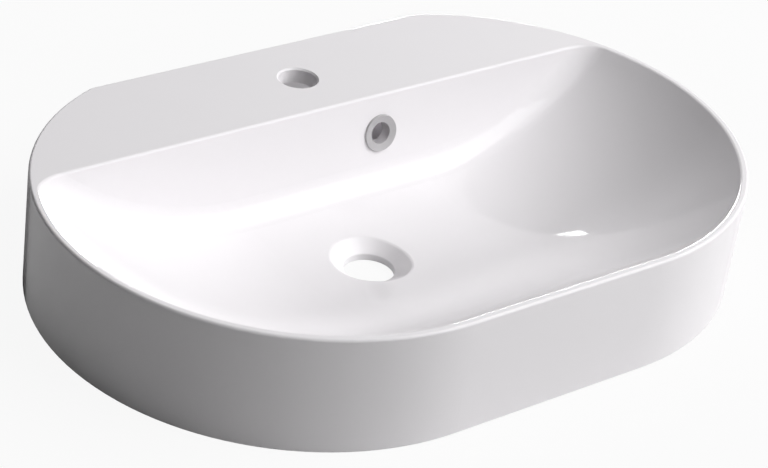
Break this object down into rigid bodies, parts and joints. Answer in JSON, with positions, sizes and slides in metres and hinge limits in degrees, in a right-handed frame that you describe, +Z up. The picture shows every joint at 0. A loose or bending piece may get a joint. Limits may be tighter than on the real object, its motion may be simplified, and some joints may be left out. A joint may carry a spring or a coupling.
{
  "type": "washbasin",
  "caption": "Sit-on washbasin of white glazed ceramic: long bowl with round ends, straight tap deck at the back with a tap hole, trimmed overflow and open waste hole.",
  "frame": {"origin": "middle of the base, on the surface that the basin stands on", "axes": "+X along the length to the right as seen from the front, +Y to the back where the tap deck is, +Z up"},
  "size_m": [0.65, 0.44, 0.106],
  "materials": {
    "glaze": "glossy white glaze",
    "trim": "satin chrome plating",
    "grip": "matt black rubber"
  },
  "bodies": {
    "root": {"basin_shell": "glaze", "overflow_ring": "trim", "overflow_grip": "grip"}
  },
  "joints": []
}
